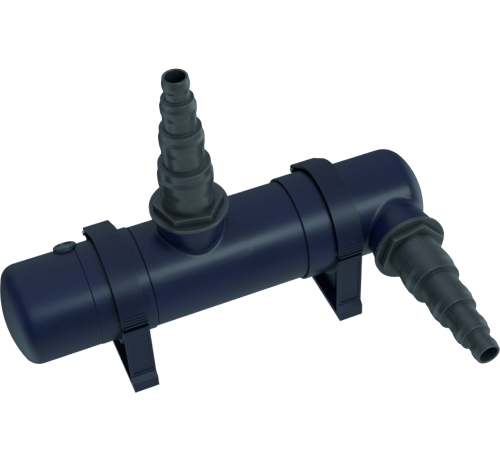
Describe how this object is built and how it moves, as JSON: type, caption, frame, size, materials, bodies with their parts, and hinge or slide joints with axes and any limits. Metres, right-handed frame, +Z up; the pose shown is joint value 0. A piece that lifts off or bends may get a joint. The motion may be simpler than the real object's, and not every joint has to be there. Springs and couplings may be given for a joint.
{
  "type": "pond uv clarifier",
  "caption": "Tubular uv clarifier: blue plastic housing on two hinged foot clamps, a pull-off lamp head and two screwed stepped hose tails.",
  "frame": {"origin": "centre of the four bracket screw holes, in the plane the feet stand on", "axes": "+X along the tube from the lamp head to the outlet cap, -Y towards the user and the outlet hose tail, +Z up along the inlet hose tail"},
  "size_m": [0.3261, 0.2179, 0.2349],
  "materials": {
    "housing_blue": "satin moulded plastic, dark navy",
    "inner_blue": "moulded plastic, dark navy",
    "clamp_blue": "satin moulded plastic, dark blue-grey",
    "bezel_grey": "glossy moulded plastic, blue-grey",
    "tail_grey": "moulded plastic, dark green-grey",
    "rubber": "matt",
    "steel": "stainless, brushed",
    "quartz": "clear quartz",
    "lamp_glass": "clear lamp glass",
    "sight_glass": "clear, polished",
    "white_plastic": "moulded plastic, white",
    "black_plastic": "moulded plastic, black"
  },
  "bodies": {
    "housing": {"main_tube": "housing_blue", "head_collar": "housing_blue", "bulkhead": "inner_blue", "left_bracket": "clamp_blue", "right_bracket": "clamp_blue", "left_pin": "steel", "right_pin": "steel", "quartz_sleeve": "quartz", "sleeve_support": "inner_blue", "outlet_seal": "rubber"},
    "left_strap_body": {"left_strap": "clamp_blue"},
    "right_strap_body": {"right_strap": "clamp_blue"},
    "inlet_gasket_body": {"inlet_gasket": "rubber"},
    "inlet_tail_body": {"inlet_tail": "tail_grey"},
    "outlet_cap_body": {"outlet_cap": "housing_blue"},
    "outlet_gasket_body": {"outlet_gasket": "rubber"},
    "outlet_tail_body": {"outlet_tail": "tail_grey"},
    "sleeve_seal_body": {"sleeve_seal": "rubber"},
    "sleeve_nut_body": {"sleeve_nut": "inner_blue"},
    "head_seal_body": {"head_seal": "rubber"},
    "lamp_head": {"lamp_head_cap": "housing_blue", "sight_ring": "bezel_grey", "sight_glass": "sight_glass", "partition": "white_plastic", "lamp_holder": "white_plastic", "ballast": "black_plastic", "terminal_block": "white_plastic", "gland_body": "black_plastic", "interlock_switch": "black_plastic"},
    "lamp": {"lamp_base": "white_plastic", "lamp_tubes": "lamp_glass", "lamp_pins": "steel"},
    "gland_seal_body": {"gland_seal": "rubber"},
    "gland_nut_body": {"gland_nut": "black_plastic"},
    "interlock_plunger_body": {"interlock_plunger": "white_plastic"}
  },
  "joints": [
    {"name": "left_strap_hinge", "type": "hinge", "parent": "housing", "child": "left_strap_body", "pos_m": [-0.0834, 0.03871, 0.08955], "axis": [-1, 0, 0], "range_deg": [0, 110]},
    {"name": "right_strap_hinge", "type": "hinge", "parent": "housing", "child": "right_strap_body", "pos_m": [0.0834, 0.03985, 0.0869], "axis": [-1, 0, 0], "range_deg": [0, 110]},
    {"name": "inlet_tail_turn", "type": "hinge", "parent": "housing", "child": "inlet_gasket_body", "pos_m": [-0.0232, 0, 0.0675], "axis": [0, 0, 1], "range_deg": [0, 2000]},
    {"name": "inlet_tail_rise", "type": "slide", "parent": "inlet_gasket_body", "child": "inlet_tail_body", "axis": [0, 0, 1], "range_m": [0, 0.01284]},
    {"name": "outlet_cap_turn", "type": "hinge", "parent": "housing", "child": "outlet_cap_body", "pos_m": [0.05, 0, 0.0675], "axis": [-1, 0, 0], "range_deg": [0, 180]},
    {"name": "outlet_tail_turn", "type": "hinge", "parent": "outlet_cap_body", "child": "outlet_gasket_body", "pos_m": [0.1253, 0, 0.0675], "axis": [0, -1, 0], "range_deg": [0, 2000]},
    {"name": "outlet_tail_rise", "type": "slide", "parent": "outlet_gasket_body", "child": "outlet_tail_body", "axis": [0, -1, 0], "range_m": [0, 0.01284]},
    {"name": "sleeve_nut_turn", "type": "hinge", "parent": "housing", "child": "sleeve_seal_body", "pos_m": [-0.09, 0, 0.0675], "axis": [-1, 0, 0], "range_deg": [0, 1440]},
    {"name": "sleeve_nut_travel", "type": "slide", "parent": "sleeve_seal_body", "child": "sleeve_nut_body", "axis": [-1, 0, 0], "range_m": [0, 0.00601]},
    {"name": "lamp_head_turn", "type": "hinge", "parent": "housing", "child": "head_seal_body", "pos_m": [-0.1, 0, 0.0675], "axis": [1, 0, 0], "range_deg": [0, 30]},
    {"name": "lamp_head_pull", "type": "slide", "parent": "head_seal_body", "child": "lamp_head", "axis": [-1, 0, 0], "range_m": [0, 0.24]},
    {"name": "lamp_unplug", "type": "slide", "parent": "lamp_head", "child": "lamp", "axis": [1, 0, 0], "range_m": [0, 0.01]},
    {"name": "gland_nut_turn", "type": "hinge", "parent": "lamp_head", "child": "gland_seal_body", "pos_m": [-0.1371, 0.03897, 0.045], "axis": [0, 0.866, -0.5], "range_deg": [0, 1440]},
    {"name": "gland_nut_travel", "type": "slide", "parent": "gland_seal_body", "child": "gland_nut_body", "axis": [0, 0.866, -0.5], "range_m": [0, 0.00601]},
    {"name": "interlock_press", "type": "slide", "parent": "lamp_head", "child": "interlock_plunger_body", "axis": [-1, 0, 0], "range_m": [0, 0.0025], "stiffness_N_per_m": 150}
  ],
  "couplings": [
    {"joint": "inlet_tail_rise", "follows": "inlet_tail_turn", "m_per_rad": 0.00036749},
    {"joint": "outlet_tail_rise", "follows": "outlet_tail_turn", "m_per_rad": 0.00036749},
    {"joint": "sleeve_nut_travel", "follows": "sleeve_nut_turn", "m_per_rad": 0.00023873},
    {"joint": "gland_nut_travel", "follows": "gland_nut_turn", "m_per_rad": 0.00023873}
  ]
}
